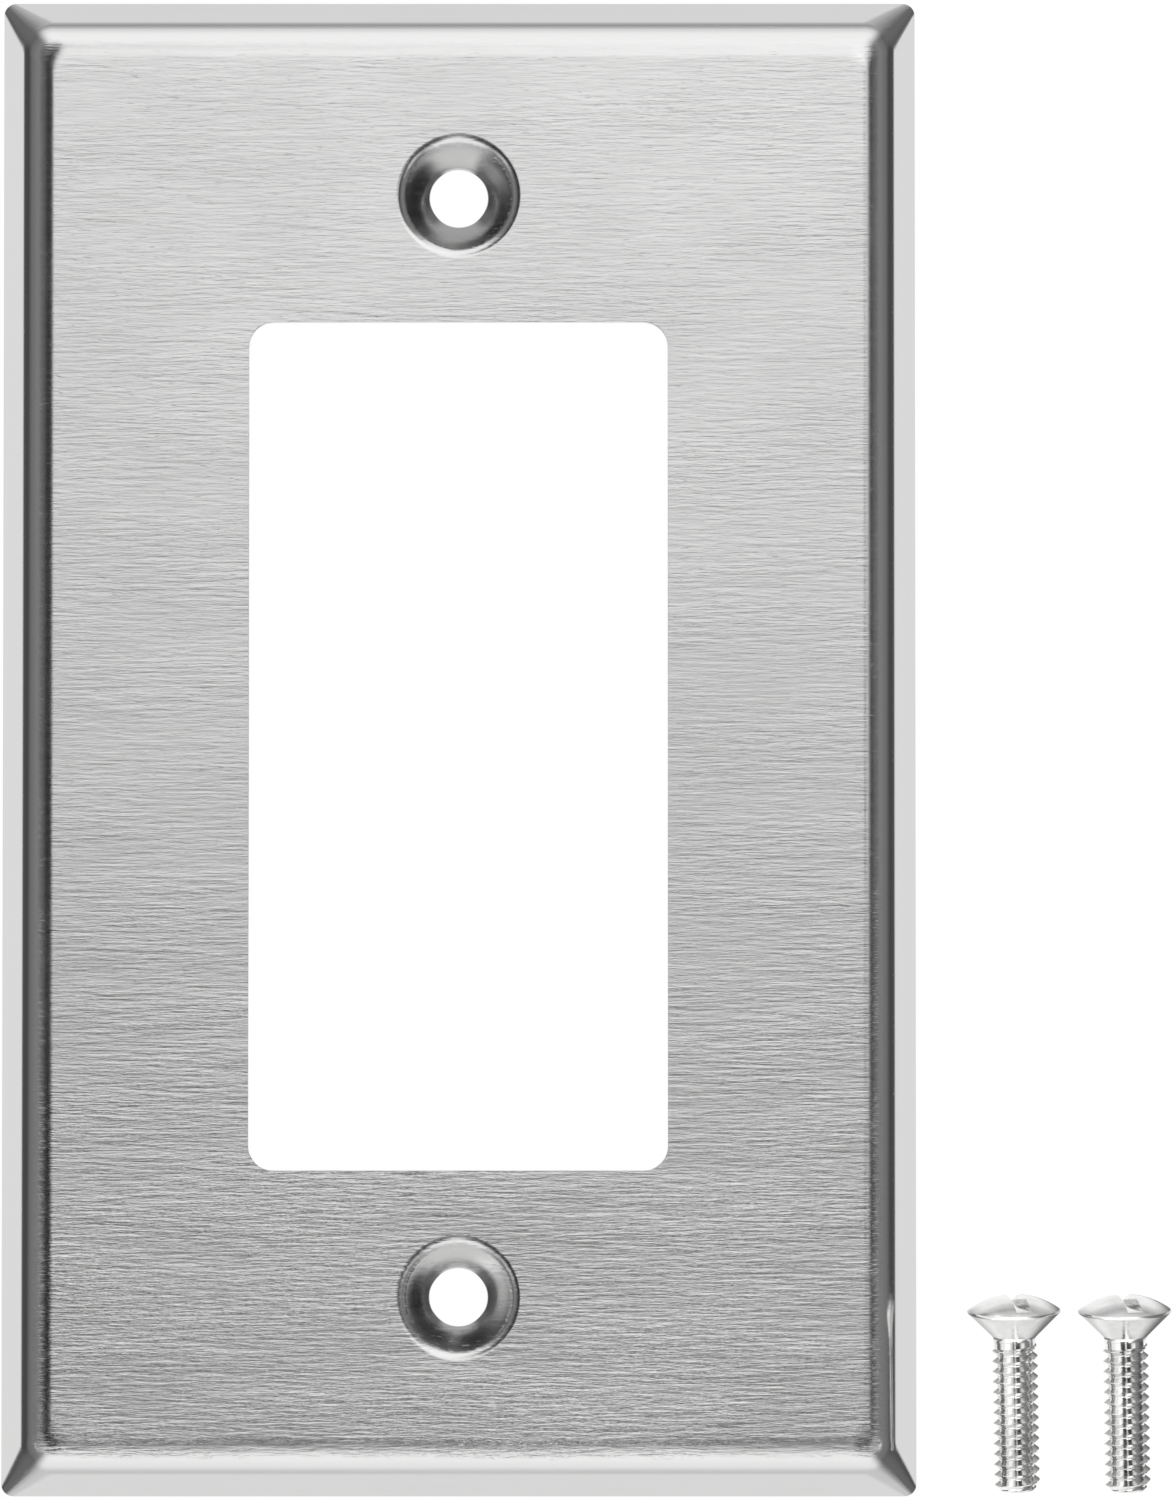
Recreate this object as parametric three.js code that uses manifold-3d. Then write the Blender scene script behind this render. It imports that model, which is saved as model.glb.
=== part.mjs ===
// Single-gang wall plate cover for a rectangular device, with its two slotted oval-head screws.
// The plate is one pressed sheet: flat face, rolled rim, rectangular opening, two countersunk dimples.
// Millimetres, +Z up. The plate stands upright, its back edge in the plane Y = 0 and its face towards -Y.

import * as THREE from 'three';
import { mergeVertices } from 'three/addons/utils/BufferGeometryUtils.js';
import Module from 'manifold-3d';

// Plate
const PLATE_WIDTH = 69.85;
const PLATE_HEIGHT = 114.3;
const PLATE_DEPTH = 5.3;
const SHEET = 0.8;
const BEND_RADIUS = 2.9;
const BEND_ANGLE = THREE.MathUtils.degToRad(66);
const END_RIM_STRETCH = 1.11;
const EDGE_CORNER = 0.95;
const SHOULDER_CORNER = 2.5;
const FACE_CORNER = 1.2;

// Opening for the device and holes for the screws
const OPENING_WIDTH = 31.85;
const OPENING_HEIGHT = 64.5;
const OPENING_CORNER = 1.85;
const HOLE_PITCH = 83.8;
const HOLE_RADIUS = 2.22;
const DIMPLE_DEPTH = 2.45;
const DIMPLE_BEND = 1.0;
const DIMPLE_SLOPE = THREE.MathUtils.degToRad(49);

// Screws, size 6-32, oval head
const HEAD_RADIUS = 3.55;
const DOME_HEIGHT = 1.2;
const HEAD_LAND = 0.12;
const CONE_DEPTH = 1.95;
const NECK_RADIUS = 1.58;
const SCREW_LENGTH = 13.8;
const THREAD_START = 2.25;
const THREAD_RUNOUT = 1.0;
const THREAD_PITCH = 25.4 / 32;
const THREAD_MAJOR = 1.725;
const THREAD_MINOR = 1.31;
const TIP_CHAMFER = 0.5;
const TIP_RISE = 0.5;
const SLOT_WIDTH = 1.15;
const SLOT_DEPTH = 0.85;
const SLOT_OFFSET = 0.08;
const SLOT_TURN = THREE.MathUtils.degToRad(10.5);

// The two screws lie beside the lower right corner, touching the plane Y = 0 with rim and thread
const SCREW_X = [42.23, 50.65];
const SCREW_RIM_Z = -42.9;
const SCREW_LEAN = THREE.MathUtils.degToRad(-1.3);

// Facets
const CORNER_STEPS = 4;
const BEND_STEPS = 4;
const DIMPLE_STEPS = 3;
const ROUND_STEPS = 32;
const THREAD_STEPS = 16;

// Overshoot of cutting solids, a hair's height that keeps two faces from lying in one plane, and the
// part of the sheet's thickness that stays below the dimple's cone round the hole
const CLEAR = 2;
const SKIN = 0.02;
const BOSS_SHARE = 0.6;

const wasm = await Module();
wasm.setup();

// Closed geometry to a solid that can be cut and joined, and back
function solid(geometry) {
  const bare = geometry.clone();
  bare.deleteAttribute('normal');
  bare.deleteAttribute('uv');
  const merged = mergeVertices(bare, 1e-4);
  const vertProperties = new Float32Array(merged.attributes.position.array);
  const triVerts = new Uint32Array(merged.index.array);
  return new wasm.Manifold(new wasm.Mesh({ numProp: 3, vertProperties, triVerts }));
}

function geometryOf(shape) {
  const mesh = shape.getMesh();
  const geometry = new THREE.BufferGeometry();
  geometry.setAttribute('position', new THREE.BufferAttribute(mesh.vertProperties, 3));
  geometry.setIndex(new THREE.BufferAttribute(mesh.triVerts, 1));
  geometry.computeVertexNormals();
  return geometry;
}

function indexedGeometry(points, triangles) {
  const geometry = new THREE.BufferGeometry();
  geometry.setFromPoints(points);
  geometry.setIndex(triangles);
  return geometry;
}

// Rounded rectangle in the XZ plane, counter-clockwise seen from the front
function roundedLoop(halfWidth, halfHeight, radius, y) {
  const points = [];
  for (const [sideX, sideZ, start] of [[1, 1, 0], [-1, 1, 1], [-1, -1, 2], [1, -1, 3]]) {
    for (let step = 0; step <= CORNER_STEPS; step += 1) {
      const angle = (start + step / CORNER_STEPS) * Math.PI / 2;
      const x = sideX * (halfWidth - radius) + radius * Math.cos(angle);
      const z = sideZ * (halfHeight - radius) + radius * Math.sin(angle);
      points.push(new THREE.Vector3(x, y, z));
    }
  }
  return points;
}

// Solid through a stack of loops that all have the same number of points, capped at both ends
function loftedSolid(loops) {
  const count = loops[0].length;
  const points = loops.flat();
  const triangles = [];
  for (let row = 0; row < loops.length - 1; row += 1) {
    for (let i = 0; i < count; i += 1) {
      const next = (i + 1) % count;
      const low = row * count;
      const high = low + count;
      triangles.push(low + i, low + next, high + next);
      triangles.push(low + i, high + next, high + i);
    }
  }
  const last = (loops.length - 1) * count;
  for (let i = 1; i < count - 1; i += 1) {
    triangles.push(0, i + 1, i);
    triangles.push(last, last + i, last + i + 1);
  }
  return solid(indexedGeometry(points, triangles));
}

// Outside of the pressed plate, or its hollow when the sheet's thickness is taken off. The rim is a
// little wider along the two short ends than along the long sides
function pressedSolid(offset, backY) {
  const innerBend = BEND_RADIUS - offset;
  const bendDrop = BEND_RADIUS * (1 - Math.cos(BEND_ANGLE));
  const slopeRun = (PLATE_DEPTH - bendDrop) / Math.tan(BEND_ANGLE);
  const centreIn = slopeRun + BEND_RADIUS * Math.sin(BEND_ANGLE);
  const centreUp = PLATE_DEPTH - BEND_RADIUS;
  const loopAt = (inward, up) => {
    const corner = inward < slopeRun
      ? THREE.MathUtils.mapLinear(inward, 0, slopeRun, EDGE_CORNER, SHOULDER_CORNER)
      : THREE.MathUtils.mapLinear(inward, slopeRun, centreIn, SHOULDER_CORNER, FACE_CORNER);
    const radius = Math.max(corner - offset / 2, 0.3);
    const halfHeight = PLATE_HEIGHT / 2 - inward * END_RIM_STRETCH;
    return roundedLoop(PLATE_WIDTH / 2 - inward, halfHeight, radius, -up);
  };
  const edgeIn = centreIn - innerBend * Math.sin(BEND_ANGLE);
  const edgeUp = centreUp + innerBend * Math.cos(BEND_ANGLE);
  const backIn = edgeIn - (edgeUp + backY) / Math.tan(BEND_ANGLE);
  const loops = [loopAt(backIn, -backY)];
  for (let step = BEND_STEPS; step >= 0; step -= 1) {
    const angle = BEND_ANGLE * step / BEND_STEPS;
    const inward = centreIn - innerBend * Math.sin(angle);
    loops.push(loopAt(inward, centreUp + innerBend * Math.cos(angle)));
  }
  return loftedSolid(loops);
}

function openingSolid() {
  const shape = new THREE.Shape();
  const x = OPENING_WIDTH / 2 - OPENING_CORNER;
  const z = OPENING_HEIGHT / 2 - OPENING_CORNER;
  shape.absarc(x, z, OPENING_CORNER, 0, Math.PI / 2);
  shape.absarc(-x, z, OPENING_CORNER, Math.PI / 2, Math.PI);
  shape.absarc(-x, -z, OPENING_CORNER, Math.PI, Math.PI * 1.5);
  shape.absarc(x, -z, OPENING_CORNER, Math.PI * 1.5, Math.PI * 2);
  const geometry = new THREE.ExtrudeGeometry(shape, {
    depth: PLATE_DEPTH + 2 * CLEAR,
    bevelEnabled: false,
    curveSegments: CORNER_STEPS,
  });
  geometry.rotateX(Math.PI / 2);
  geometry.translate(0, CLEAR, 0);
  return solid(geometry);
}

// Round solid about the Y axis from radius and height above the wall plane
function turnedForward(profile) {
  const geometry = new THREE.LatheGeometry(profile, ROUND_STEPS);
  geometry.rotateX(Math.PI);
  return solid(geometry);
}

// Countersunk dimple: its cavity from the front, or the boss behind it one sheet thickness further in.
// A cone from the hole meets the face in a bend whose centre both sides of the sheet share
function dimpleSolid(offset, topUp) {
  const bendDrop = DIMPLE_BEND * (1 - Math.cos(DIMPLE_SLOPE));
  const coneRun = (DIMPLE_DEPTH - bendDrop) / Math.tan(DIMPLE_SLOPE);
  const centreRadius = HOLE_RADIUS + coneRun + DIMPLE_BEND * Math.sin(DIMPLE_SLOPE);
  const centreUp = PLATE_DEPTH - DIMPLE_BEND;
  const bend = DIMPLE_BEND - offset;
  const shoulderRadius = centreRadius - bend * Math.sin(DIMPLE_SLOPE);
  const shoulderUp = centreUp + bend * Math.cos(DIMPLE_SLOPE);
  const floorUp = PLATE_DEPTH - DIMPLE_DEPTH - offset * BOSS_SHARE;
  const floorRadius = shoulderRadius - (shoulderUp - floorUp) / Math.tan(DIMPLE_SLOPE);
  const profile = [new THREE.Vector2(0, floorUp), new THREE.Vector2(floorRadius, floorUp)];
  for (let step = DIMPLE_STEPS; step > 0; step -= 1) {
    const angle = DIMPLE_SLOPE * step / DIMPLE_STEPS;
    profile.push(new THREE.Vector2(centreRadius - bend * Math.sin(angle), centreUp + bend * Math.cos(angle)));
  }
  profile.push(new THREE.Vector2(centreRadius, PLATE_DEPTH - offset + SKIN));
  profile.push(new THREE.Vector2(centreRadius, topUp));
  profile.push(new THREE.Vector2(0, topUp));
  return turnedForward(profile);
}

function holeSolid() {
  const length = PLATE_DEPTH + 2 * CLEAR;
  const geometry = new THREE.CylinderGeometry(HOLE_RADIUS, HOLE_RADIUS, length, ROUND_STEPS);
  geometry.translate(0, -PLATE_DEPTH / 2, 0);
  return solid(geometry);
}

function faceplateGeometry() {
  let hollow = pressedSolid(SHEET, CLEAR);
  let front = pressedSolid(0, 0).subtract(openingSolid());
  for (const side of [1, -1]) {
    const place = [0, 0, side * HOLE_PITCH / 2];
    hollow = hollow.subtract(dimpleSolid(SHEET, PLATE_DEPTH - SHEET / 2).translate(place));
    front = front.subtract(dimpleSolid(0, PLATE_DEPTH + CLEAR).translate(place));
    front = front.subtract(holeSolid().translate(place));
  }
  return geometryOf(front.subtract(hollow));
}

// Thread as one skewed grid: each column starts a little higher than the one before it,
// and the last column meets the first one a whole pitch further up
function threadSolid() {
  const rows = [
    { share: 0.0, radius: THREAD_MAJOR },
    { share: 0.12, radius: THREAD_MAJOR },
    { share: 0.43, radius: THREAD_MINOR },
    { share: 0.69, radius: THREAD_MINOR },
  ];
  const perTurn = rows.length;
  const turns = Math.ceil((SCREW_LENGTH - CONE_DEPTH) / THREAD_PITCH) + 2;
  const bottom = -SCREW_LENGTH - 1.5 * THREAD_PITCH;
  const points = [];
  const columns = [];
  for (let column = 0; column < THREAD_STEPS; column += 1) {
    const turn = column / THREAD_STEPS;
    const last = turns * perTurn + (column === 0 ? perTurn : 0);
    const indices = [];
    for (let k = 0; k <= last; k += 1) {
      const row = rows[k % perTurn];
      const along = Math.floor(k / perTurn) + row.share + turn;
      const angle = turn * Math.PI * 2;
      indices.push(points.length);
      points.push(new THREE.Vector3(
        row.radius * Math.cos(angle),
        row.radius * Math.sin(angle),
        bottom + along * THREAD_PITCH,
      ));
    }
    columns.push(indices);
  }
  columns.push(columns[0].slice(perTurn));
  const triangles = [];
  for (let column = 0; column < THREAD_STEPS; column += 1) {
    const here = columns[column];
    const beside = columns[column + 1];
    for (let k = 0; k < turns * perTurn; k += 1) {
      triangles.push(here[k], beside[k], beside[k + 1]);
      triangles.push(here[k], beside[k + 1], here[k + 1]);
    }
  }
  capHelix(points, triangles, columns, 0, bottom - THREAD_PITCH, false);
  capHelix(points, triangles, columns, turns * perTurn, bottom + (turns + 2) * THREAD_PITCH, true);
  return solid(indexedGeometry(points, triangles));
}

// Fan over one open end of the thread's grid, down the step where the last column meets the first
function capHelix(points, triangles, columns, row, apexZ, upward) {
  const perTurn = columns[0].length - columns[1].length;
  const rim = columns.slice(0, THREAD_STEPS).map((indices) => indices[row]);
  for (let k = perTurn; k > 0; k -= 1) {
    rim.push(columns[0][row + k]);
  }
  const apex = points.length;
  points.push(new THREE.Vector3(0, 0, apexZ));
  rim.forEach((index, i) => {
    const next = rim[(i + 1) % rim.length];
    triangles.push(apex, ...(upward ? [index, next] : [next, index]));
  });
}

// Outline that trims the thread: neck under the head, full thread, chamfered blunt tip
function threadEnvelope() {
  const profile = [
    new THREE.Vector2(0, -SCREW_LENGTH),
    new THREE.Vector2(THREAD_MAJOR - TIP_CHAMFER, -SCREW_LENGTH),
    new THREE.Vector2(THREAD_MAJOR + 0.05, -SCREW_LENGTH + TIP_RISE),
    new THREE.Vector2(THREAD_MAJOR + 0.05, -THREAD_START - THREAD_RUNOUT),
    new THREE.Vector2(NECK_RADIUS - 0.02, -THREAD_START + 0.1),
    new THREE.Vector2(NECK_RADIUS - 0.02, -CONE_DEPTH + 0.5),
    new THREE.Vector2(0, -CONE_DEPTH + 0.5),
  ];
  return turnedUp(profile);
}

function turnedUp(profile) {
  const geometry = new THREE.LatheGeometry(profile, ROUND_STEPS);
  geometry.rotateX(Math.PI / 2);
  return solid(geometry);
}

// Oval head from the neck up: neck, cone, thin land and low dome
function headSolid() {
  const domeRadius = (HEAD_RADIUS ** 2 + DOME_HEIGHT ** 2) / (2 * DOME_HEIGHT);
  const domeSteps = 5;
  const profile = [
    new THREE.Vector2(0, -THREAD_START),
    new THREE.Vector2(NECK_RADIUS, -THREAD_START),
    new THREE.Vector2(NECK_RADIUS, -CONE_DEPTH),
    new THREE.Vector2(HEAD_RADIUS, -HEAD_LAND),
  ];
  for (let step = 0; step < domeSteps; step += 1) {
    const r = HEAD_RADIUS * (1 - step / domeSteps);
    const rise = Math.sqrt(domeRadius ** 2 - r ** 2) - domeRadius + DOME_HEIGHT;
    profile.push(new THREE.Vector2(r, rise));
  }
  profile.push(new THREE.Vector2(0, DOME_HEIGHT));
  return turnedUp(profile);
}

function slotSolid() {
  const tall = SLOT_DEPTH + CLEAR;
  const geometry = new THREE.BoxGeometry(SLOT_WIDTH, 4 * HEAD_RADIUS, tall);
  geometry.translate(SLOT_OFFSET, 0, DOME_HEIGHT - SLOT_DEPTH + tall / 2);
  geometry.rotateZ(SLOT_TURN);
  return solid(geometry);
}

function screwGeometry() {
  const shank = threadSolid().intersect(threadEnvelope());
  return geometryOf(shank.add(headSolid()).subtract(slotSolid()));
}

function namedMesh(name, geometry, material) {
  const mesh = new THREE.Mesh(geometry, material);
  mesh.name = name;
  return mesh;
}

const brushedSteel = new THREE.MeshStandardMaterial({ color: 0xb9b9b8, roughness: 0.36, metalness: 1 });
const brightPlating = new THREE.MeshStandardMaterial({ color: 0xd9d9d7, roughness: 0.14, metalness: 1 });

const wallPlateCover = new THREE.Group();
wallPlateCover.add(namedMesh('faceplate', faceplateGeometry(), brushedSteel));

// A screw lies on its rim and its last full thread, so its axis comes forward at the head
const screwTilt = Math.atan2(HEAD_RADIUS - THREAD_MAJOR, SCREW_LENGTH - TIP_RISE);
['mounting_screw_left', 'mounting_screw_right'].forEach((name, i) => {
  const screw = namedMesh(name, screwGeometry(), brightPlating);
  const lying = new THREE.Group();
  lying.position.set(SCREW_X[i], -HEAD_RADIUS * Math.cos(screwTilt), SCREW_RIM_Z);
  lying.rotation.set(screwTilt, SCREW_LEAN, 0);
  lying.add(screw);
  wallPlateCover.add(lying);
});

export default wallPlateCover;
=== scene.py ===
import math
import bpy
from mathutils import Matrix, Vector


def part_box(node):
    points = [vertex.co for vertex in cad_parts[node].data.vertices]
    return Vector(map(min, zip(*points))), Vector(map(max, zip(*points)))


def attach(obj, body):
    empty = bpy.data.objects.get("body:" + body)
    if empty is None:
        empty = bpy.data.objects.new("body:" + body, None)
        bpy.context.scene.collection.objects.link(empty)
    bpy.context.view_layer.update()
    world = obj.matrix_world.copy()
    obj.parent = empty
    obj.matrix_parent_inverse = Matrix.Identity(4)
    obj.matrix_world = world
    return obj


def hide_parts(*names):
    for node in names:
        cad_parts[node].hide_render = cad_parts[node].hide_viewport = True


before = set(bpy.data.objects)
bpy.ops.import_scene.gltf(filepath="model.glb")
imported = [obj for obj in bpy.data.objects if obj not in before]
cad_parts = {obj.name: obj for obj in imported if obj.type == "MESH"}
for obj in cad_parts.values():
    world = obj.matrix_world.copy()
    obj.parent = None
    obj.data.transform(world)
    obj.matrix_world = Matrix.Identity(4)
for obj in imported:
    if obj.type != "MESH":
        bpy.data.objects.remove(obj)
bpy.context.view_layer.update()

# Face plate: one blank of stainless sheet, brushed across its width and pierced, then pressed over
# a form. The press rolls the rim back to the wall and sinks the two seats for the oval screw heads.

MM = 0.001
plate_low, plate_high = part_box("faceplate")
plate_half_width = (plate_high.x - plate_low.x) / 2
plate_half_height = (plate_high.z - plate_low.z) / 2
plate_depth = plate_high.y - plate_low.y
sheet_thickness = 0.8 * MM
rim_bend_radius = 2.9 * MM
rim_bend_angle = math.radians(66)
rim_bend_steps = 10
corner_steps = 8
end_rim_stretch = 1.11
corner_at_edge = 0.95 * MM
corner_at_shoulder = 2.5 * MM
corner_at_face = 1.2 * MM
opening_half_width = 15.925 * MM
opening_half_height = 32.25 * MM
opening_corner = 1.85 * MM
hole_spacing = 83.8 * MM
hole_radius = 2.22 * MM
hole_land = 0.12 * MM
seat_depth = 2.45 * MM
seat_bend_radius = 1.0 * MM
seat_bend_steps = 6
seat_slope = math.radians(49)
seat_sides = 72
past_back = 0.5 * MM
edge_break = 0.07 * MM


def nothing_selected():
    for thing in bpy.context.selected_objects:
        thing.select_set(False)
    bpy.context.view_layer.objects.active = None


def edit_points(piece, wanted):
    """In edit mode, selects exactly the points whose place passes the test."""
    bpy.ops.object.mode_set(mode="OBJECT")
    mesh = piece.data
    for polygon in mesh.polygons:
        polygon.select = False
    for edge in mesh.edges:
        edge.select = False
    for vertex in mesh.vertices:
        vertex.select = wanted(vertex.co)
    bpy.ops.object.mode_set(mode="EDIT")
    bpy.ops.mesh.select_mode(type="VERT")


def near(value, target):
    return abs(value - target) < 0.002 * MM


def add_rounded_panel(half_width, half_height, corner, steps):
    """Adds a flat rounded rectangle in the plane of the face, turned to the front."""
    bpy.ops.mesh.select_all(action="DESELECT")
    bpy.ops.mesh.primitive_plane_add(
        size=2, location=(0, -plate_depth, 0), rotation=(math.pi / 2, 0, 0))
    bpy.ops.transform.resize(
        value=(half_width, 1, half_height), center_override=(0, -plate_depth, 0))
    bpy.ops.mesh.bevel(
        affect="VERTICES", offset=corner, offset_type="OFFSET", segments=steps, profile=0.5)


def grow_corner(piece, half_width, half_height, level, corner, wanted_corner):
    """Widens or tightens the four rounded corners of one ring without moving its straight sides."""
    for side_x in (-1, 1):
        for side_z in (-1, 1):
            tip = Vector((side_x * half_width, level, side_z * half_height))
            reach = corner * 1.02
            edit_points(piece, lambda co: near(co.y, level)
                        and abs(co.x - tip.x) < reach and abs(co.z - tip.z) < reach)
            grow = wanted_corner / corner
            bpy.ops.transform.resize(value=(grow, 1, grow), center_override=tip)


nothing_selected()
bpy.ops.mesh.primitive_plane_add(size=2, location=(0, 0, 0))
plate = bpy.context.object
plate.name = plate.data.name = "pressed_faceplate"
bpy.ops.object.mode_set(mode="EDIT")
bpy.ops.mesh.delete(type="VERT")

rim_drop = rim_bend_radius * (1 - math.cos(rim_bend_angle))
rim_slope_run = (plate_depth - rim_drop) / math.tan(rim_bend_angle)
rim_width = rim_slope_run + rim_bend_radius * math.sin(rim_bend_angle)
face_half_width = plate_half_width - rim_width
face_half_height = plate_half_height - rim_width * end_rim_stretch

add_rounded_panel(face_half_width, face_half_height, corner_at_face, corner_steps)
bpy.ops.mesh.delete(type="ONLY_FACE")

# The rim: rings carried round the bend and down the slope, a little past the wall plane
rings = []
for step in range(1, rim_bend_steps + 1):
    angle = rim_bend_angle * step / rim_bend_steps
    outward = rim_bend_radius * math.sin(angle)
    rings.append((outward, -plate_depth + rim_bend_radius * (1 - math.cos(angle))))
rings.append((rim_width, 0))
rings.append((rim_width + past_back / math.tan(rim_bend_angle), past_back))

ring_width, ring_height = face_half_width, face_half_height
ring_corner, ring_level = corner_at_face, -plate_depth
edit_points(plate, lambda co: True)
for outward, level in rings:
    new_width = face_half_width + outward
    new_height = face_half_height + outward * end_rim_stretch
    bpy.ops.mesh.extrude_edges_move(
        TRANSFORM_OT_translate={"value": (0, level - ring_level, 0)})
    bpy.ops.transform.resize(
        value=(new_width / ring_width, 1, new_height / ring_height),
        center_override=(0, level, 0))
    shoulder = rim_width - rim_slope_run
    if outward <= shoulder + 0.001 * MM:
        share = outward / shoulder
        wanted_corner = corner_at_face + share * (corner_at_shoulder - corner_at_face)
    else:
        share = (outward - shoulder) / rim_slope_run
        wanted_corner = corner_at_shoulder + share * (corner_at_edge - corner_at_shoulder)
    stretched_corner = ring_corner * new_width / ring_width
    grow_corner(plate, new_width, new_height, level, stretched_corner, wanted_corner)
    edit_points(plate, lambda co: near(co.y, level))
    ring_width, ring_height = new_width, new_height
    ring_corner, ring_level = wanted_corner, level

# The opening's outline, and each screw seat: a soft lip, a cone and a short land round the hole
add_rounded_panel(opening_half_width, opening_half_height, opening_corner, corner_steps)
bpy.ops.mesh.delete(type="ONLY_FACE")

seat_rings = []
for step in range(1, seat_bend_steps + 1):
    angle = seat_slope * step / seat_bend_steps
    seat_rings.append((seat_bend_radius * math.sin(angle),
                       seat_bend_radius * (1 - math.cos(angle))))
lip_run, lip_drop = seat_rings[-1]
lip_radius = hole_radius + (seat_depth - lip_drop) / math.tan(seat_slope) + lip_run
for share in (0.35, 0.7, 0.94, 1.0):
    seat_rings.append((lip_run + share * (lip_radius - lip_run - hole_radius),
                       lip_drop + share * (seat_depth - lip_drop)))
seat_rings.append((lip_radius - hole_radius + 0.02 * MM, seat_depth + hole_land))
seat_rings.append((lip_radius - hole_radius + 0.02 * MM, seat_depth + 0.3 * MM))

for side in (-1, 1):
    centre = Vector((0, -plate_depth, side * hole_spacing / 2))
    bpy.ops.mesh.select_all(action="DESELECT")
    bpy.ops.mesh.primitive_circle_add(
        vertices=seat_sides, radius=lip_radius, fill_type="NOTHING",
        location=centre, rotation=(math.pi / 2, 0, 0))
    radius, depth = lip_radius, 0
    for inward, sunk in seat_rings:
        shrink = (lip_radius - inward) / radius
        bpy.ops.mesh.extrude_edges_move(TRANSFORM_OT_translate={"value": (0, sunk - depth, 0)})
        bpy.ops.transform.resize(value=(shrink, 1, shrink), center_override=centre)
        radius, depth = lip_radius - inward, sunk

# The flat face closes the outlines, then the sheet gets its thickness and its trimmed back edge
edit_points(plate, lambda co: near(co.y, -plate_depth))
bpy.ops.mesh.fill(use_beauty=True)
bpy.ops.mesh.select_all(action="SELECT")
bpy.ops.mesh.remove_doubles(threshold=0.0005 * MM)
bpy.ops.mesh.normals_make_consistent(inside=False)
bpy.ops.object.mode_set(mode="OBJECT")
face_normal = max(plate.data.polygons, key=lambda polygon: polygon.area).normal
if face_normal.y > 0:
    bpy.ops.object.mode_set(mode="EDIT")
    bpy.ops.mesh.select_all(action="SELECT")
    bpy.ops.mesh.flip_normals()
    bpy.ops.object.mode_set(mode="OBJECT")


def apply_modifier(piece, kind, **settings):
    bpy.context.view_layer.objects.active = piece
    modifier = piece.modifiers.new(kind.lower(), kind)
    for name, value in settings.items():
        setattr(modifier, name, value)
    bpy.ops.object.modifier_apply(modifier=modifier.name)


apply_modifier(plate, "SOLIDIFY", thickness=sheet_thickness, offset=-1, use_even_offset=True)
bpy.ops.object.mode_set(mode="EDIT")
bpy.ops.mesh.select_all(action="SELECT")
bpy.ops.mesh.bisect(
    plane_co=(0, 0, 0), plane_no=(0, 1, 0), use_fill=True, clear_outer=True, threshold=0.0001 * MM)
bpy.ops.object.mode_set(mode="OBJECT")
apply_modifier(plate, "BEVEL", width=edge_break, segments=2, limit_method="ANGLE",
               angle_limit=math.radians(50), use_clamp_overlap=True)
bpy.ops.object.shade_smooth_by_angle(angle=math.radians(40))
apply_modifier(plate, "WEIGHTED_NORMAL", keep_sharp=True, weight=60)

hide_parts("faceplate")
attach(plate, "plate")


def add_socket(group, name, kind, side, value=None):
    socket = group.interface.new_socket(name=name, in_out=side, socket_type=kind)
    if value is not None:
        socket.default_value = value


def wire(tree, start, start_socket, end, end_socket):
    tree.links.new(start.outputs[start_socket], end.inputs[end_socket])


def math_node(tree, operation, first, second=None, clamp=False):
    node = tree.nodes.new("ShaderNodeMath")
    node.operation = operation
    node.use_clamp = clamp
    for index, value in enumerate((first, second)):
        if isinstance(value, (int, float)):
            node.inputs[index].default_value = value
        elif value is not None:
            tree.links.new(value, node.inputs[index])
    return node.outputs[0]


def noise_value(tree, point, scale, detail, roughness, stretch=None):
    """Noise in the piece's own space, stretched by the mapping where the pattern has a direction."""
    noise = tree.nodes.new("ShaderNodeTexNoise")
    noise.inputs["Scale"].default_value = scale
    noise.inputs["Detail"].default_value = detail
    noise.inputs["Roughness"].default_value = roughness
    if stretch:
        mapping = tree.nodes.new("ShaderNodeMapping")
        mapping.inputs["Scale"].default_value = stretch
        tree.links.new(point, mapping.inputs["Vector"])
        point = mapping.outputs["Vector"]
    tree.links.new(point, noise.inputs["Vector"])
    return noise.outputs["Fac"]


def between(tree, value, low, high, to_low=0.0, to_high=1.0, smooth=True):
    node = tree.nodes.new("ShaderNodeMapRange")
    node.interpolation_type = "SMOOTHSTEP" if smooth else "LINEAR"
    tree.links.new(value, node.inputs["Value"])
    for name, number in (("From Min", low), ("From Max", high),
                         ("To Min", to_low), ("To Max", to_high)):
        node.inputs[name].default_value = number
    return node.outputs["Result"]


# Handling marks, shared by the sheet and the plating: faint broad smudges and a few fine scratches
handling = bpy.data.node_groups.new("handling_marks", "ShaderNodeTree")
add_socket(handling, "Point", "NodeSocketVector", "INPUT")
add_socket(handling, "Smudge", "NodeSocketFloat", "OUTPUT")
add_socket(handling, "Scratch", "NodeSocketFloat", "OUTPUT")
marks_in = handling.nodes.new("NodeGroupInput")
marks_out = handling.nodes.new("NodeGroupOutput")
marks_point = marks_in.outputs["Point"]
smudge = between(handling, noise_value(handling, marks_point, 70, 3, 0.55), 0.35, 0.7)
scratch_thin = noise_value(handling, marks_point, 1, 2, 0.5, (900, 900, 7000))
scratch = between(handling, scratch_thin, 0.66, 0.74)
handling.links.new(smudge, marks_out.inputs["Smudge"])
handling.links.new(scratch, marks_out.inputs["Scratch"])

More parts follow.
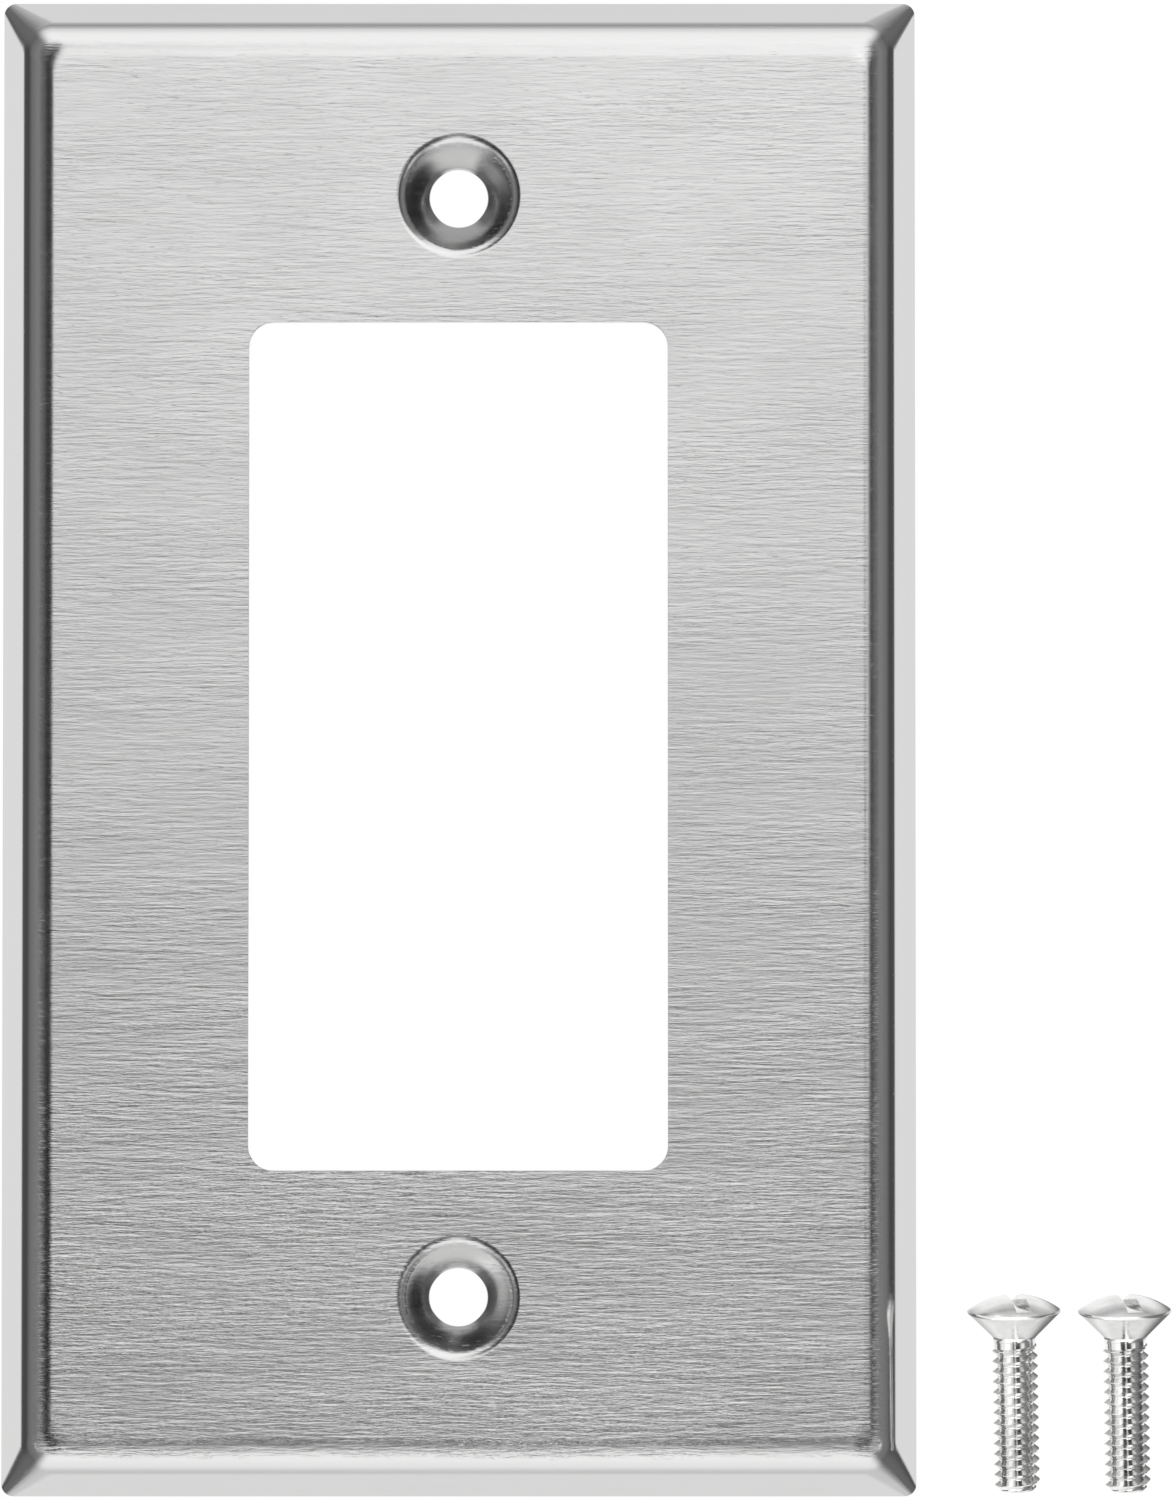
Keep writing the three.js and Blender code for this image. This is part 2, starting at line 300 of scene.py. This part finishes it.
# Brushed stainless: level streaks on the flat face, running ragged into the rolled rim and the seats,
# which the press tools have polished; the back is as smooth as the rim
streak_relief = 0.065 * MM
face_fade = (0.10 * MM, 0.45 * MM)
ragged_edge = 0.45 * MM
rim_roughness = 0.11
face_roughness = 0.20
deepest_below = -53 * MM
shallow_above = 2 * MM
steel = bpy.data.materials.new("brushed_stainless_sheet")
steel.use_nodes = True
tree = steel.node_tree
shader = tree.nodes["Principled BSDF"]
shader.inputs["Metallic"].default_value = 1.0
shader.inputs["Anisotropic"].default_value = 0.5
shader.inputs["Anisotropic Rotation"].default_value = 0.25
point = tree.nodes.new("ShaderNodeTexCoord").outputs["Object"]
depth = tree.nodes.new("ShaderNodeSeparateXYZ")
tree.links.new(point, depth.inputs["Vector"])

streak_long = noise_value(tree, point, 1, 3, 0.62, (210, 210, 2700))
streak_short = noise_value(tree, point, 1, 3, 0.7, (520, 520, 4600))
streaks = math_node(tree, "ADD", math_node(tree, "MULTIPLY", streak_long, 0.5),
                    math_node(tree, "MULTIPLY", streak_short, 0.5))
ragged_depth = math_node(tree, "ADD", depth.outputs["Y"],
                         math_node(tree, "MULTIPLY",
                                   math_node(tree, "SUBTRACT", 0.5, streak_short), ragged_edge))
on_face = between(tree, ragged_depth, face_fade[0] - plate_depth, face_fade[1] - plate_depth, 1, 0)
strength = between(tree, on_face, 0, 1, 0.12, 1.0, smooth=False)

marks = tree.nodes.new("ShaderNodeGroup")
marks.node_tree = handling
tree.links.new(point, marks.inputs["Point"])

tone = tree.nodes.new("ShaderNodeValToRGB")
tone.color_ramp.elements[0].position = 0.3
tone.color_ramp.elements[0].color = (0.60, 0.60, 0.60, 1)
tone.color_ramp.elements[1].position = 0.7
tone.color_ramp.elements[1].color = (0.65, 0.65, 0.645, 1)
faded = math_node(tree, "ADD",
                  math_node(tree, "MULTIPLY", math_node(tree, "SUBTRACT", streaks, 0.5), strength),
                  0.5)
tree.links.new(faded, tone.inputs["Fac"])
wire(tree, tone, "Color", shader, "Base Color")

rough = math_node(tree, "ADD", between(tree, on_face, 0, 1, rim_roughness, face_roughness, smooth=False),
                  math_node(tree, "MULTIPLY",
                            math_node(tree, "SUBTRACT", streak_long, 0.5), 0.12))
rough = math_node(tree, "ADD", rough, math_node(tree, "MULTIPLY", marks.outputs["Smudge"], 0.03))
tree.links.new(rough, shader.inputs["Roughness"])

relief = tree.nodes.new("ShaderNodeBump")
relief.inputs["Strength"].default_value = 1.0
relief.inputs["Distance"].default_value = streak_relief
# The belt bit deepest along the lower end, and unevenly from patch to patch
bite = between(tree, depth.outputs["Z"], deepest_below, shallow_above, 1.2, 0.38)
bite = math_node(tree, "MULTIPLY", bite,
                 between(tree, noise_value(tree, point, 1, 2, 0.5, (60, 60, 260)), 0.3, 0.7, 0.7, 1.3))
height = math_node(tree, "MULTIPLY", math_node(tree, "MULTIPLY", streaks, bite), strength)
height = math_node(tree, "SUBTRACT", height,
                   math_node(tree, "MULTIPLY", marks.outputs["Scratch"], 0.05))
tree.links.new(height, relief.inputs["Height"])
wire(tree, relief, "Normal", shader, "Normal")
plate.data.materials.append(steel)

# Mounting screws, two alike: number 6 thread, 32 to the inch, with a slotted oval head. Each is
# headed from wire, rolled and slotted, then bright plated. They lie loose, on head rim and thread.

head_radius = 3.55 * MM
dome_height = 1.2 * MM
head_depth = 1.95 * MM
neck_radius = 1.58 * MM
screw_length = 13.8 * MM
thread_pitch = 25.4 / 32 * MM
thread_crest = 1.725 * MM
thread_root = 1.31 * MM
thread_top = -2.10 * MM
tip_chamfer = 0.5 * MM
slot_width = 1.15 * MM
slot_depth = 0.85 * MM
slot_offset = 0.08 * MM
slot_turn = math.radians(10.5)
round_sides = 72
dome_steps = 14
winding_steps = 48


def turned_piece(name, outline, sides):
    """A round piece on the Z axis: a circle carried up through the outline's radii and heights."""
    nothing_selected()
    first_radius, first_height = outline[0]
    bpy.ops.mesh.primitive_circle_add(
        vertices=sides, radius=first_radius, fill_type="NGON", location=(0, 0, first_height))
    piece = bpy.context.object
    piece.name = piece.data.name = name
    bpy.ops.object.transform_apply(location=True)
    bpy.ops.object.mode_set(mode="EDIT")
    edit_points(piece, lambda co: True)
    bpy.ops.mesh.select_mode(type="EDGE")
    radius, level = first_radius, first_height
    for next_radius, next_level in outline[1:]:
        bpy.ops.mesh.extrude_edges_move(
            TRANSFORM_OT_translate={"value": (0, 0, next_level - level)})
        bpy.ops.transform.resize(
            value=(next_radius / radius, next_radius / radius, 1),
            center_override=(0, 0, next_level))
        radius, level = next_radius, next_level
    bpy.ops.mesh.edge_face_add()
    bpy.ops.mesh.select_all(action="SELECT")
    bpy.ops.mesh.normals_make_consistent(inside=False)
    bpy.ops.object.mode_set(mode="OBJECT")
    return piece


# Head: neck fillet, cone, a thin rounded rim and the low dome
head_outline = [(neck_radius - 0.04 * MM, -3.0 * MM), (neck_radius - 0.01 * MM, -2.3 * MM),
                (neck_radius + 0.04 * MM, -head_depth - 0.08 * MM),
                (neck_radius + 0.16 * MM, -head_depth + 0.06 * MM)]
head_outline += [(head_radius - 0.12 * MM, -0.20 * MM), (head_radius - 0.03 * MM, -0.10 * MM),
                 (head_radius, 0.0), (head_radius - 0.04 * MM, 0.07 * MM)]
dome_radius = (head_radius ** 2 + dome_height ** 2) / (2 * dome_height)
for step in range(1, dome_steps):
    across = head_radius * math.cos(step / dome_steps * math.pi / 2) * 0.985
    rise = math.sqrt(dome_radius ** 2 - across ** 2) - dome_radius + dome_height
    head_outline.append((across, rise))
screw = turned_piece("plated_screw_left", head_outline, round_sides)


def cut_or_join(piece, other, operation):
    apply_modifier(piece, "BOOLEAN", object=other, operation=operation, solver="EXACT")
    bpy.data.objects.remove(other, do_unlink=True)


nothing_selected()
bpy.ops.mesh.primitive_cube_add(size=1, location=(0, 0, dome_height))
saw = bpy.context.object
bpy.ops.object.mode_set(mode="EDIT")
bpy.ops.transform.resize(value=(slot_width, 4 * head_radius, 2 * slot_depth),
                         center_override=(0, 0, dome_height))
bpy.ops.transform.translate(value=(slot_offset, 0, 0))
bpy.ops.object.mode_set(mode="OBJECT")
saw.rotation_euler = (0, 0, slot_turn)
bpy.context.view_layer.objects.active = saw
bpy.ops.object.transform_apply(location=True, rotation=True)
cut_or_join(screw, saw, "DIFFERENCE")

# Thread: one vee wound up the shank, then trimmed to full depth, run-out and chamfered end
vee = [(thread_root, 0.0), (thread_root + 0.02 * MM, 0.08), (thread_crest - 0.04 * MM, 0.44),
       (thread_crest, 0.475), (thread_crest, 0.525), (thread_crest - 0.04 * MM, 0.56),
       (thread_root + 0.02 * MM, 0.92), (thread_root, 1.0)]
thread_bottom = -screw_length - 1.5 * thread_pitch
nothing_selected()
bpy.ops.mesh.primitive_plane_add(size=thread_pitch, location=(thread_root, 0, thread_bottom))
thread = bpy.context.object
thread.name = thread.data.name = "rolled_thread"
bpy.ops.object.transform_apply(location=True)
bpy.ops.object.mode_set(mode="EDIT")
bpy.ops.mesh.select_all(action="SELECT")
bpy.ops.mesh.merge(type="CENTER")
bpy.ops.mesh.select_all(action="SELECT")
for (radius, share), (next_radius, next_share) in zip(vee, vee[1:]):
    bpy.ops.mesh.extrude_vertices_move(TRANSFORM_OT_translate={
        "value": (next_radius - radius, 0, (next_share - share) * thread_pitch)})
bpy.ops.object.mode_set(mode="OBJECT")
turns = math.ceil((thread_top - thread_bottom) / thread_pitch) + 1
apply_modifier(thread, "SCREW", axis="Z", angle=math.tau, screw_offset=thread_pitch,
               iterations=turns, steps=winding_steps, render_steps=winding_steps, use_merge_vertices=True,
               merge_threshold=0.001 * MM, use_smooth_shade=False)
bpy.ops.object.mode_set(mode="EDIT")
# The cuts fall halfway between two steps of the winding, so that neither plane meets a point
first_cut = 59.5
last_cut = 779.5
for steps_up, clear in ((first_cut, "clear_inner"), (last_cut, "clear_outer")):
    level = thread_bottom + steps_up / winding_steps * thread_pitch
    bpy.ops.mesh.select_all(action="SELECT")
    bpy.ops.mesh.remove_doubles(threshold=0.0005 * MM)
    bpy.ops.mesh.select_all(action="SELECT")
    bpy.ops.mesh.bisect(plane_co=(0, 0, level), plane_no=(0, 0, 1), use_fill=True,
                        threshold=0.00001 * MM, **{clear: True})
bpy.ops.mesh.select_all(action="SELECT")
bpy.ops.mesh.normals_make_consistent(inside=False)
bpy.ops.object.mode_set(mode="OBJECT")

trim = turned_piece("thread_trim", [
    (thread_crest - tip_chamfer, -screw_length),
    (thread_crest + 0.03 * MM, -screw_length + tip_chamfer),
    (thread_crest + 0.03 * MM, -3.3 * MM),
    (neck_radius + 0.02 * MM, -2.3 * MM),
    (neck_radius - 0.02 * MM, -2.0 * MM)], round_sides)
cut_or_join(thread, trim, "INTERSECT")
cut_or_join(screw, thread, "UNION")

# Laid down: the head's rim and the last full thread touch the plane behind, and the tip points down
left_low, left_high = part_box("mounting_screw_left")
right_low, right_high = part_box("mounting_screw_right")
lie_tilt = math.atan2(head_radius - thread_crest, screw_length - tip_chamfer)
lie_lean = math.radians(-1.3)
lying = (Matrix.Translation((0, -head_radius * math.cos(lie_tilt), 0))
         @ Matrix.Rotation(lie_tilt, 4, "X") @ Matrix.Rotation(lie_lean, 4, "Y"))
screw.data.transform(lying)
own_low = Vector([min(v.co[i] for v in screw.data.vertices) for i in range(3)])
own_high = Vector([max(v.co[i] for v in screw.data.vertices) for i in range(3)])
shift = (left_low + left_high) / 2 - (own_low + own_high) / 2
screw.data.transform(Matrix.Translation((shift.x, left_high.y - own_high.y, left_low.z - own_low.z)))

nothing_selected()
screw.select_set(True)
bpy.context.view_layer.objects.active = screw
bpy.ops.object.shade_smooth_by_angle(angle=math.radians(32))

plating = bpy.data.materials.new("bright_nickel_plating")
plating.use_nodes = True
tree = plating.node_tree
shader = tree.nodes["Principled BSDF"]
shader.inputs["Metallic"].default_value = 1.0
point = tree.nodes.new("ShaderNodeTexCoord").outputs["Object"]
marks = tree.nodes.new("ShaderNodeGroup")
marks.node_tree = handling
tree.links.new(point, marks.inputs["Point"])
pebble = noise_value(tree, point, 2600, 4, 0.6)
mottle = noise_value(tree, point, 420, 3, 0.6)

tone = tree.nodes.new("ShaderNodeValToRGB")
tone.color_ramp.elements[0].position = 0.30
tone.color_ramp.elements[0].color = (0.72, 0.72, 0.71, 1)
tone.color_ramp.elements[1].position = 0.62
tone.color_ramp.elements[1].color = (0.90, 0.90, 0.895, 1)
tree.links.new(mottle, tone.inputs["Fac"])
wire(tree, tone, "Color", shader, "Base Color")
rough = math_node(tree, "ADD", between(tree, pebble, 0.3, 0.7, 0.07, 0.17),
                  math_node(tree, "MULTIPLY", marks.outputs["Smudge"], 0.04))
tree.links.new(rough, shader.inputs["Roughness"])
relief = tree.nodes.new("ShaderNodeBump")
relief.inputs["Strength"].default_value = 1.0
relief.inputs["Distance"].default_value = 0.006 * MM
height = math_node(tree, "SUBTRACT", math_node(tree, "MULTIPLY", pebble, 0.5),
                   math_node(tree, "MULTIPLY", marks.outputs["Scratch"], 0.3))
tree.links.new(height, relief.inputs["Height"])
wire(tree, relief, "Normal", shader, "Normal")
screw.data.materials.append(plating)

second = screw.copy()
second.data = screw.data.copy()
second.name = second.data.name = "plated_screw_right"
bpy.context.collection.objects.link(second)
second.data.transform(Matrix.Translation((right_low.x - left_low.x, 0, right_low.z - left_low.z)))

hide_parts("mounting_screw_left")
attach(screw, "left_screw")
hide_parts("mounting_screw_right")
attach(second, "right_screw")

# Studio: a pale floor below the goods and a plain white surround. What the metal reflects is painted
# by direction: softboxes over and under the camera, a white wall behind, and dark flags at both
# sides, which draw the dark line along the rolled rim.

floor_size = 1.6
floor_drop = 70 * MM
nothing_selected()
bpy.ops.mesh.primitive_plane_add(size=floor_size, location=(0, 0, plate_low.z - floor_drop))
floor = bpy.context.object
floor.name = floor.data.name = "studio_floor"
floor_paint = bpy.data.materials.new("pale_floor_paint")
floor_paint.use_nodes = True
paint = floor_paint.node_tree.nodes["Principled BSDF"]
paint.inputs["Base Color"].default_value = (0.93, 0.93, 0.93, 1)
paint.inputs["Roughness"].default_value = 0.8
floor.data.materials.append(floor_paint)
floor.visible_glossy = False

world = bpy.data.worlds.new("studio_air")
bpy.context.scene.world = world
world.use_nodes = True
sky = world.node_tree
for node in list(sky.nodes):
    sky.nodes.remove(node)
sky_out = sky.nodes.new("ShaderNodeOutputWorld")
seen = sky.nodes.new("ShaderNodeBackground")
seen.inputs["Color"].default_value = (1, 1, 1, 1)
seen.inputs["Strength"].default_value = 1.0
lit = sky.nodes.new("ShaderNodeBackground")
lit.inputs["Strength"].default_value = 1.0
chooser = sky.nodes.new("ShaderNodeMixShader")
path = sky.nodes.new("ShaderNodeLightPath")
direction = sky.nodes.new("ShaderNodeSeparateXYZ")
sky.links.new(sky.nodes.new("ShaderNodeTexCoord").outputs["Generated"],
              direction.inputs["Vector"])
east, north, up = (direction.outputs[axis] for axis in "XYZ")


def brightness_ramp(value, stops):
    """Brightness against position, eased from stop to stop."""
    ramp = sky.nodes.new("ShaderNodeValToRGB")
    ramp.color_ramp.interpolation = "EASE"
    elements = ramp.color_ramp.elements
    elements[0].position, elements[1].position = stops[0][0], stops[-1][0]
    for position, tone in stops[1:-1]:
        elements.new(position)
    for element, (position, tone) in zip(elements, stops):
        element.position = position
        element.color = (tone, tone, tone, 1)
    sky.links.new(value, ramp.inputs["Fac"])
    return ramp.outputs["Color"]


def mixed_tone(amount, first, second):
    """Brightness that goes from the first to the second as the amount goes from 0 to 1."""
    node = sky.nodes.new("ShaderNodeMix")
    node.data_type = "RGBA"
    for index, value in ((0, amount), (6, first), (7, second)):
        if isinstance(value, tuple):
            node.inputs[index].default_value = value
        else:
            sky.links.new(value, node.inputs[index])
    return node.outputs[2]


# Turn away from the camera, 0 to 1, and how steeply up or down a direction leaves the view axis
away = math_node(sky, "DIVIDE", math_node(sky, "ARCCOSINE", math_node(sky, "MULTIPLY", north, -1)),
                 math.pi)
aside = math_node(sky, "SQRT", math_node(sky, "SUBTRACT", 1.0002, math_node(sky, "POWER", north, 2)))
steep = math_node(sky, "DIVIDE", math_node(sky, "ABSOLUTE", up), aside)
in_front = between(sky, away, 0.18, 0.28, 1, 0)

# Level round the goods: black flags with a grey card between them, and the white wall far behind
level = brightness_ramp(away, [(angle / 180, tone) for angle, tone in [
    (0, 0.10), (12, 0.03), (26, 0.03), (44, 0.17), (60, 0.31), (76, 0.25), (98, 0.09),
    (116, 0.11), (127, 1.05), (180, 1.0)]])
slanting = math_node(sky, "MULTIPLY", between(sky, steep, 0.28, 0.62), between(sky, away, 0.45, 0.53))
level = mixed_tone(slanting, level, (0.20, 0.20, 0.20, 1))
card_edge = math_node(sky, "MULTIPLY", between(sky, away, 0.065, 0.085),
                      between(sky, away, 0.10, 0.16, 1, 0))
right_card = math_node(sky, "MULTIPLY", card_edge,
                       between(sky, math_node(sky, "DIVIDE", east, aside), 0.3, 0.8))
right_card = math_node(sky, "MULTIPLY", right_card, between(sky, up, -0.24, 0.12, 0, 1.1))
level = math_node(sky, "ADD", level, right_card)

# Over and under the camera: two wide softboxes that reach round to the white wall
over = brightness_ramp(away, [(angle / 180, tone) for angle, tone in [
    (0, 1.6), (8, 2.3), (15, 2.2), (24, 1.5), (70, 1.36), (86, 1.10), (98, 0.66), (108, 0.45),
    (118, 0.66), (132, 0.98), (180, 1.0)]])
under = brightness_ramp(away, [(angle / 180, tone) for angle, tone in [
    (0, 0.05), (10, 0.06), (16, 0.70), (22, 1.55), (30, 1.40), (56, 1.36), (80, 1.25), (111, 0.86),
    (132, 1.05), (180, 1.0)]])
# In front, both boxes stop short of the left side and of the lower right
aside_squared = math_node(sky, "MULTIPLY", aside, aside)
lean_right = math_node(sky, "MULTIPLY", math_node(sky, "MAXIMUM", east, 0), up)
lean_left = math_node(sky, "MULTIPLY", math_node(sky, "MINIMUM", east, 0),
                      math_node(sky, "ABSOLUTE", up))
lean = math_node(sky, "DIVIDE", math_node(sky, "ADD", lean_right, lean_left), aside_squared)
lean = math_node(sky, "SUBTRACT", math_node(sky, "MULTIPLY", lean, 0.6), 0.12)
lean = math_node(sky, "MULTIPLY", lean, in_front)
over_amount = between(sky, math_node(sky, "ADD", steep, lean), 0.72, 0.92)
tone = mixed_tone(between(sky, up, -0.02, 0.02), under, over)
tone = mixed_tone(over_amount, level, tone)
# Low at each side, a small pale card that a view from the other side finds in the face
off_centre = math_node(sky, "ABSOLUTE", east)
low_cards = math_node(sky, "MULTIPLY", between(sky, off_centre, 0.44, 0.54),
                      between(sky, off_centre, 0.76, 0.84, 1, 0))
low_cards = math_node(sky, "MULTIPLY", low_cards, between(sky, north, -0.45, -0.52))
low_cards = math_node(sky, "MULTIPLY", low_cards, between(sky, up, -0.60, -0.50))
low_cards = math_node(sky, "MULTIPLY", low_cards, between(sky, up, -0.32, -0.26, 1, 0))
tone = mixed_tone(low_cards, tone, between(sky, up, -0.52, -0.30, 0.70, 1.15))
# Round the camera: an upright strip of the room beyond it, brighter above than below
room = brightness_ramp(math_node(sky, "ADD", up, 0.5), [
    (0.30, 0.05), (0.38, 0.08), (0.45, 0.22), (0.51, 0.86), (0.57, 1.30), (0.62, 1.42), (0.75, 1.46),
    (0.90, 1.40)])
sideways = math_node(sky, "ABSOLUTE", math_node(sky, "ADD", east, 0.02))
strip = math_node(sky, "MULTIPLY", between(sky, sideways, 0.13, 0.19, 1, 0),
                  between(sky, up, -0.24, -0.16))
strip = math_node(sky, "MULTIPLY", strip, between(sky, away, 0.14, 0.22, 1, 0))
tone = mixed_tone(strip, tone, room)
sky.links.new(tone, lit.inputs["Color"])
wire(sky, path, "Is Camera Ray", chooser, "Fac")
sky.links.new(lit.outputs["Background"], chooser.inputs[1])
sky.links.new(seen.outputs["Background"], chooser.inputs[2])
wire(sky, chooser, "Shader", sky_out, "Surface")


def add_softbox(name, place, aim, width, height, power):
    light = bpy.data.lights.new(name, "AREA")
    light.shape = "RECTANGLE"
    light.size = width
    light.size_y = height
    light.energy = power
    box = bpy.data.objects.new(name, light)
    bpy.context.collection.objects.link(box)
    box.location = place
    box.rotation_euler = (Vector(aim) - Vector(place)).to_track_quat("-Z", "Y").to_euler()
    box.visible_camera = False
    return box


# One box lights the floor and is kept out of the reflections; a small one beside the screws faces +X
floor_light = add_softbox("floor_softbox", place=(0.0, -0.30, 0.40), aim=(0, 0, 0),
                          width=0.50, height=0.30, power=4.0)
floor_light.visible_glossy = False
beside_screws = Vector((left_low.x - 2.5 * MM, -15 * MM, (left_low.z + left_high.z) / 2))
add_softbox("screw_softbox", place=beside_screws, aim=beside_screws + Vector((1, 0, 0)),
            width=0.022, height=0.05, power=0.0026)

# Camera: square on to the goods and a little low, with a long lens, aimed to take in the plate
# and the two screws beside it
camera_distance = 0.70
sensor_width = 36
camera_low = math.radians(2.0)
view_height = 114.8 * MM
view_centre_x = 9.82 * MM
view_centre_z = -0.15 * MM
lens = bpy.data.cameras.new("product_camera")
lens.sensor_width = sensor_width
lens.sensor_fit = "AUTO"
lens.lens = sensor_width * camera_distance / view_height
lens.clip_start = 0.01
camera = bpy.data.objects.new("product_camera", lens)
bpy.context.collection.objects.link(camera)
aim = Vector((view_centre_x, 0, view_centre_z))
camera.location = aim - camera_distance * Vector((0, math.cos(camera_low), math.sin(camera_low)))
camera.rotation_euler = (aim - camera.location).to_track_quat("-Z", "Y").to_euler()
bpy.context.scene.camera = camera
bpy.context.scene.view_settings.view_transform = "Standard"
